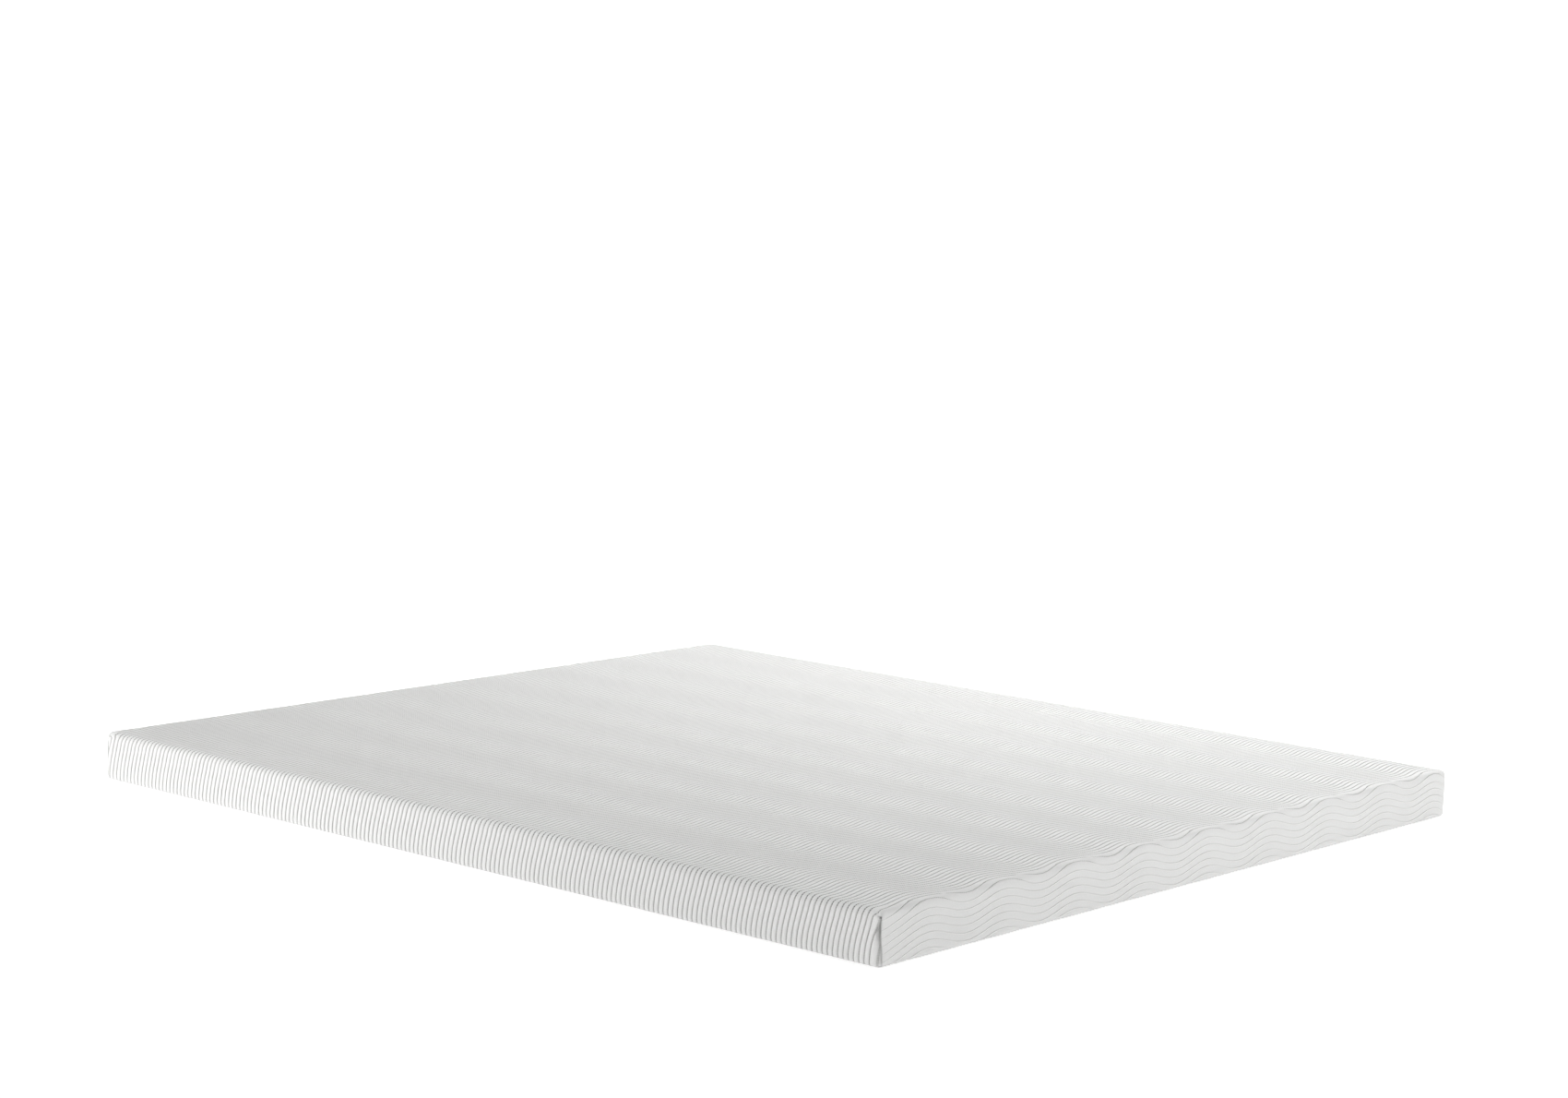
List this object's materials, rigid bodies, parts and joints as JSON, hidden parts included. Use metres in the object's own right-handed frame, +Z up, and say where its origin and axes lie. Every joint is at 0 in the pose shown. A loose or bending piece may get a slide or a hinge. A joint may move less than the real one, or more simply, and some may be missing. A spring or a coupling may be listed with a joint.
{
  "type": "memory foam mattress",
  "caption": "Thin double memory foam mattress with two bonded foam layers in a liner, inside a removable zipped cover of wavy ribbed knit.",
  "frame": {"origin": "on the floor, under the middle of the mattress", "axes": "+Z up through the mattress, +Y along its length to the head end with the zip, +X across its width"},
  "size_m": [1.8, 2, 0.096],
  "materials": {
    "knit_cover": "matte",
    "base_cloth": "matte",
    "seam_thread": "matte",
    "liner_knit": "matte",
    "memory_foam": "matte",
    "support_foam": "matte",
    "glue": "satin",
    "zip_tape": "matte",
    "zip_chain": "satin",
    "zip_metal": "satin"
  },
  "bodies": {
    "mattress": {"base_foam": "support_foam", "base_seam_thread": "seam_thread", "bond_film": "glue", "corner_seam_back_left": "seam_thread", "corner_seam_back_right": "seam_thread", "corner_seam_front_left": "seam_thread", "corner_seam_front_right": "seam_thread", "cover_base": "base_cloth", "cover_top": "knit_cover", "liner_lower": "liner_knit", "liner_upper": "liner_knit", "memory_foam": "memory_foam", "zip_bottom_stop": "zip_metal", "zip_chain_lower": "zip_chain", "zip_chain_upper": "zip_chain", "zip_end_patch_left": "base_cloth", "zip_end_patch_right": "base_cloth", "zip_stitching_lower": "seam_thread", "zip_stitching_upper": "seam_thread", "zip_tape_lower": "zip_tape", "zip_tape_upper": "zip_tape", "zip_top_stops": "zip_metal"},
    "slider": {"zip_slider": "zip_metal"},
    "pull": {"zip_pull": "zip_metal"}
  },
  "joints": [
    {"name": "zip_slide", "type": "slide", "parent": "mattress", "child": "slider", "axis": [1, 0, 0], "range_m": [0, 1.667], "deforming": ["zip_chain_upper", "zip_chain_lower"]},
    {"name": "pull_swing", "type": "hinge", "parent": "slider", "child": "pull", "pos_m": [-0.836, 0.995, 0.0285], "axis": [0, 0, 1], "range_deg": [0, 180]}
  ]
}
